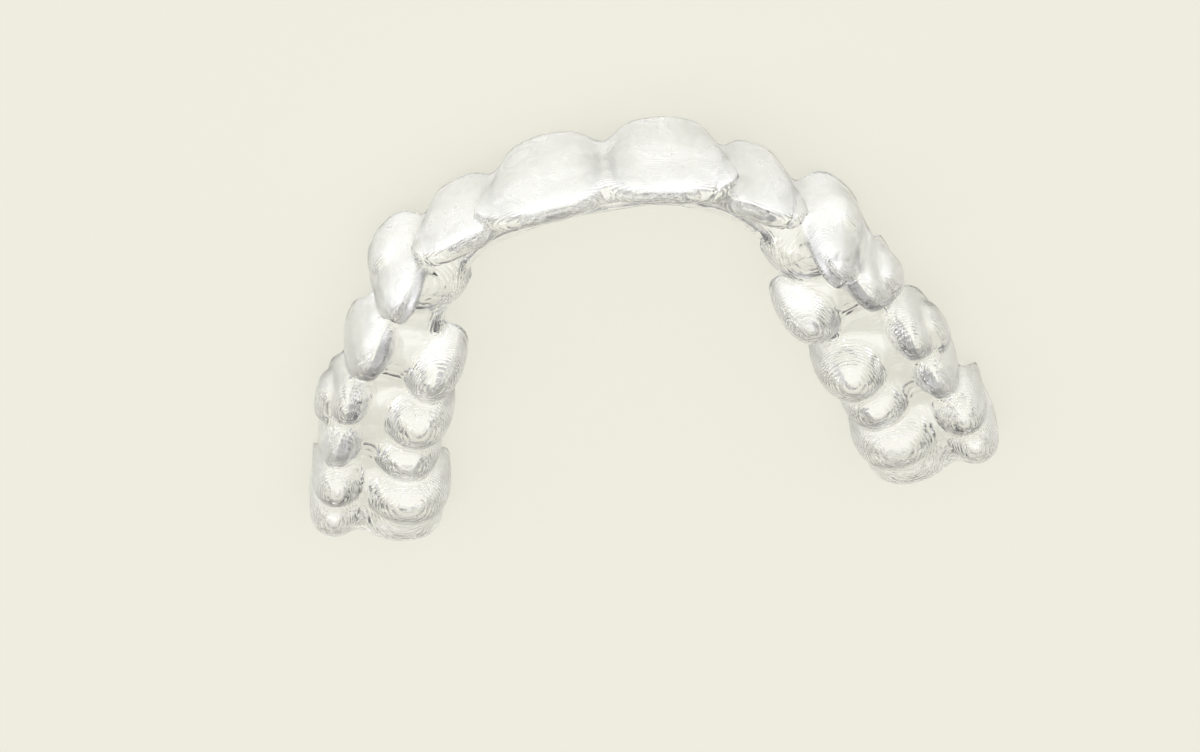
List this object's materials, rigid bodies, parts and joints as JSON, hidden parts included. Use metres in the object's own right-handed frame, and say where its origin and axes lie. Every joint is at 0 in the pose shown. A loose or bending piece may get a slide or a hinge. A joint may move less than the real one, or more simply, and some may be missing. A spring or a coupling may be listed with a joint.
{
  "type": "clear aligner",
  "caption": "Clear plastic orthodontic aligner for the upper teeth, a thin one-piece shell of tooth-shaped wells with a scalloped trim line.",
  "frame": {"origin": "centre of the footprint, at the surface the shell lies on", "axes": "+Z towards the biting surfaces, +Y from the front teeth towards the molars, +X towards the wearer's left"},
  "size_m": [0.0596, 0.0412, 0.0102],
  "materials": {
    "clear_plastic": "clear, smooth and glossy, with faint layer lines from the printed mould"
  },
  "bodies": {
    "root": {"aligner_shell": "clear_plastic"}
  },
  "joints": []
}
